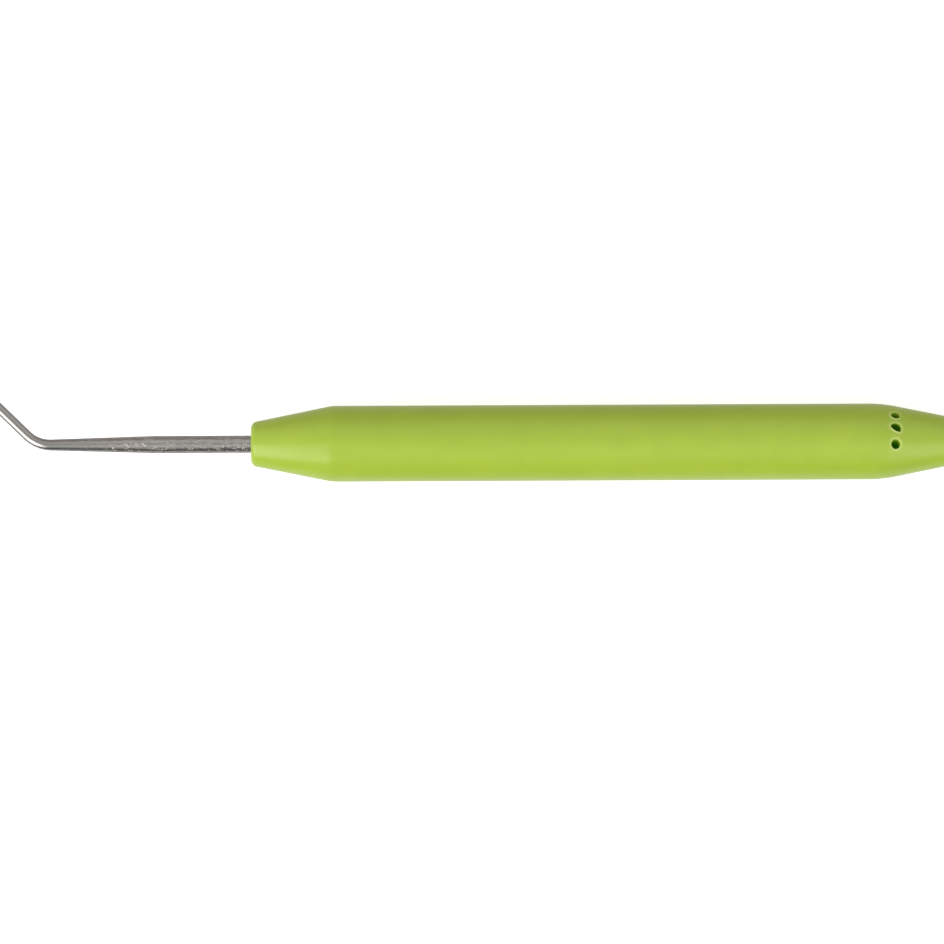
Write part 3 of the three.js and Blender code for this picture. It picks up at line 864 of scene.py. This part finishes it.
def swagedSteel():
    finish, tree, shader = newFinish("swagedSteel")
    place = addNode(tree, 'ShaderNodeAttribute', attribute_name="straight")
    along = addNode(tree, 'ShaderNodeSeparateXYZ')
    tree.links.new(place.outputs["Vector"], along.inputs[0])
    nose = wire["nose"]
    polished = addRange(tree, along.outputs["X"], nose - steel["workedUntil"],
                        nose - steel["polishedFrom"], 0, 1, smooth=True)
    worked = addSum(tree, 'SUBTRACT', 1.0, polished)
    drawn = stretchedBy(tree, place.outputs["Vector"], steel["streakStretch"])
    streaks = addNoise(tree, drawn, *steel["streak"])
    hammered = stretchedBy(tree, place.outputs["Vector"], steel["hammerStretch"])
    dents = addNoise(tree, hammered, *steel["dent"])
    specks = addNoise(tree, hammered, *steel["pit"])
    pits = addRange(tree, specks, *steel["pitSpread"], 0, 1, smooth=True)
    stain = addSum(tree, 'MULTIPLY', addRange(tree, streaks, *steel["streakStain"]), worked)
    bare = addMix(tree, polished, steel["worked"], steel["polished"])
    tree.links.new(addMix(tree, stain, bare, steel["stain"]), shader.inputs["Base Color"])
    rough = addRange(tree, polished, 0, 1, steel["workedRoughness"], steel["polishedRoughness"])
    rough = addSum(tree, 'ADD', rough, addRange(tree, streaks, *steel["streakRough"]))
    tree.links.new(rough, shader.inputs["Roughness"])
    shader.inputs["Metallic"].default_value = 1.0
    shader.inputs["Specular Tint"].default_value = steel["edge"]
    dentHeight = addSum(tree, 'MULTIPLY', dents, worked)
    pitHeight = addSum(tree, 'MULTIPLY', pits, worked)
    normal = addBump(tree, dentHeight, *steel["dentBump"])
    normal = addBump(tree, pitHeight, *steel["pitBump"], normal)
    normal = addBump(tree, streaks, *steel["streakBump"], normal)
    tree.links.new(normal, shader.inputs["Normal"])
    return finish


# The small pieces of the head: colour, roughness and how fine the grain is
bright = {
    "latch": ((0.68, 0.67, 0.655, 1), 0.2, 6.0),
    "pin": ((0.58, 0.57, 0.56, 1), 0.28, 8.0),
    "fine": (3.0, 0.6), "fineSpread": (0.3, 0.7), "smoother": 0.04, "rougher": 0.06,
    "broad": (0.9, 2.0), "broadSpread": (0.35, 0.65), "darkerShare": 0.86,
    "bump": (0.3, 0.000004),
}


def polishedSteel(name, colour, roughness, scale):
    finish, tree, shader = newFinish(name)
    fine = addNoise(tree, millimetres(tree), scale, *bright["fine"])
    broad = addNoise(tree, millimetres(tree), *bright["broad"])
    darker = tuple(bright["darkerShare"] * part for part in colour[:3]) + (1,)
    tone = addRange(tree, broad, *bright["broadSpread"], 0, 1)
    tree.links.new(addMix(tree, tone, darker, colour), shader.inputs["Base Color"])
    tree.links.new(addRange(tree, fine, *bright["fineSpread"], roughness - bright["smoother"],
                            roughness + bright["rougher"]), shader.inputs["Roughness"])
    shader.inputs["Metallic"].default_value = 1.0
    tree.links.new(addBump(tree, fine, *bright["bump"]), shader.inputs["Normal"])
    return finish


def dress(piece, finish, body, node):
    piece.data.materials.clear()
    piece.data.materials.append(finish)
    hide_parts(node)
    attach(piece, body)


dress(gripShell, limePlastic("limePlastic", 0.0), "tool", "handle")
dress(buttPlug, limePlastic("plugPlastic", lime["plugShift"]), "tool",
      "end_plug")
dress(hookWire, swagedSteel(), "tool", "shank")
dress(latchBlade, polishedSteel("latchSteel", *bright["latch"]), "latch", "latch")
dress(rivetPin, polishedSteel("pinSteel", *bright["pin"]), "tool", "latch_pin")
print("finishes on")


studio = {
    "tableZ": -0.00475, "tableSize": 6.0,
    "tableColour": (0.60, 0.60, 0.60, 1), "tableRoughness": 0.9,
    "tableGlow": 0.75,
    # what the tool sees of the table instead: a card, from 60 mm below the tool to 60 mm above
    "cardReach": 0.060,
    "card": [(-1.0, 0.16), (-0.5, 0.22), (-0.25, 0.70), (-0.06, 1.0),
             (0.06, (0.80, 0.77, 0.77)), (0.2, (0.55, 0.50, 0.50)), (1.0, (0.22, 0.19, 0.19))],
    "middle": Vector((-0.06125, -0.0036, 0.0)),
    "viewWidth": 0.118, "lens": 500.0, "sensor": 36.0, "clipStart": 0.01, "turn": -0.25,
    # softboxes: place from the middle of the view, tilt about Y, size and power
    "key": (Vector((-0.56, -0.50, 0.38)), -44.0, (0.62, 0.90), 4.9),
    "fill": (Vector((0.50, -0.50, 0.42)), 43.0, (0.50, 0.80), 1.7),
    "boxColour": (1.0, 0.98, 0.95),
    # colour of the tent by its side: from -1 where the picture's lower edge is to 1 above
    "bands": [(-1.0, 0.10), (-0.95, 0.12), (-0.80, (0.28, 0.27, 0.26)),
              (-0.45, (0.88, 0.87, 0.83)), (0.1, (0.39, 0.39, 0.37)), (0.45, (0.55, 0.56, 0.52)),
              (0.82, (0.78, 0.75, 0.73)), (1.0, (0.20, 0.14, 0.14))],
    # and what is added to it by its end: from -1 on the left to 1 on the right
    "ends": [(-1.0, 0.12), (-0.7, 0.12), (-0.4, 0.0), (0.1, 0.0), (0.35, 0.2), (0.6, 0.0),
             (1.0, 0.0)],
}


# Colours along one axis, given as places from -1 to 1 and a grey or a colour at each
def addRamp(tree, side, stops, reach=1.0):
    ramp = addNode(tree, 'ShaderNodeValToRGB')
    ramp.color_ramp.interpolation = 'B_SPLINE'
    for index, (place, colour) in enumerate(stops):
        made = ramp.color_ramp.elements
        stop = made[index] if index < 2 else made.new(1.0)
        stop.position = (place + 1) / 2
        stop.color = (*colour, 1) if isinstance(colour, tuple) else (colour, colour, colour, 1)
    tree.links.new(addRange(tree, side, -reach, reach, 0, 1), ramp.inputs["Fac"])
    return ramp.outputs["Color"]


# The camera sees one shader, and everything else is lit by the other
def chooseFrom(tree, forLight, forCamera, ending):
    path = addNode(tree, 'ShaderNodeLightPath')
    choose = addNode(tree, 'ShaderNodeMixShader')
    tree.links.new(path.outputs["Is Camera Ray"], choose.inputs[0])
    tree.links.new(forLight.outputs[0], choose.inputs[1])
    tree.links.new(forCamera.outputs[0], choose.inputs[2])
    tree.links.new(choose.outputs[0], ending.inputs[0])


freshStart()
bpy.ops.mesh.primitive_plane_add(size=studio["tableSize"],
                                 location=(studio["middle"].x, 0, studio["tableZ"]))
table = newPiece("table")
applyPlace(table)
tableFinish, tableTree, tableShader = newFinish("tablePaper")
tableOutput = next(node for node in tableTree.nodes if node.type == 'OUTPUT_MATERIAL')
tableShader.inputs["Base Color"].default_value = studio["tableColour"]
tableShader.inputs["Roughness"].default_value = studio["tableRoughness"]
tableShader.inputs["Specular IOR Level"].default_value = 0.0
tableShader.inputs["Emission Color"].default_value = (1, 1, 1, 1)
tableShader.inputs["Emission Strength"].default_value = studio["tableGlow"]
tablePlace = addNode(tableTree, 'ShaderNodeTexCoord')
tableParts = addNode(tableTree, 'ShaderNodeSeparateXYZ')
tableTree.links.new(tablePlace.outputs["Object"], tableParts.inputs[0])
reach = studio["cardReach"]
card = addNode(tableTree, 'ShaderNodeEmission')
tableTree.links.new(addRamp(tableTree, tableParts.outputs["Y"], studio["card"], reach),
                    card.inputs["Color"])
chooseFrom(tableTree, card, tableShader, tableOutput)
table.data.materials.append(tableFinish)

world = bpy.data.worlds.new("tent")
world.use_nodes = True
bpy.context.scene.world = world
tent = world.node_tree
tent.nodes.clear()
aim = addNode(tent, 'ShaderNodeTexCoord')
aimParts = addNode(tent, 'ShaderNodeSeparateXYZ')
tent.links.new(aim.outputs["Generated"], aimParts.inputs[0])
both = addNode(tent, 'ShaderNodeVectorMath', operation='ADD')
tent.links.new(addRamp(tent, aimParts.outputs["Y"], studio["bands"]), both.inputs[0])
tent.links.new(addRamp(tent, aimParts.outputs["X"], studio["ends"]), both.inputs[1])
lit = addNode(tent, 'ShaderNodeBackground')
tent.links.new(both.outputs[0], lit.inputs["Color"])
plain = addNode(tent, 'ShaderNodeBackground')
plain.inputs["Color"].default_value = (1, 1, 1, 1)
chooseFrom(tent, lit, plain, addNode(tent, 'ShaderNodeOutputWorld'))


def addSoftbox(name, place, tilt, size, power):
    freshStart()
    bpy.ops.object.light_add(type='AREA', location=studio["middle"] + place,
                             rotation=(0, math.radians(tilt), 0))
    box = bpy.context.object
    box.name = name
    box.data.shape = 'RECTANGLE'
    box.data.size, box.data.size_y = size
    box.data.energy = power
    box.data.color = studio["boxColour"]


addSoftbox("keyBox", *studio["key"])
addSoftbox("fillBox", *studio["fill"])

freshStart()
eyeHeight = studio["viewWidth"] * studio["lens"] / studio["sensor"]
bpy.ops.object.camera_add(location=studio["middle"] + Vector((0, 0, eyeHeight)),
                          rotation=(0, 0, math.radians(studio["turn"])))
eye = bpy.context.object
eye.name = "photoCamera"
eye.data.lens = studio["lens"]
eye.data.sensor_width = studio["sensor"]
eye.data.clip_start = studio["clipStart"]
bpy.context.scene.camera = eye
bpy.context.scene.view_settings.view_transform = 'Standard'
print("table, light and camera set")
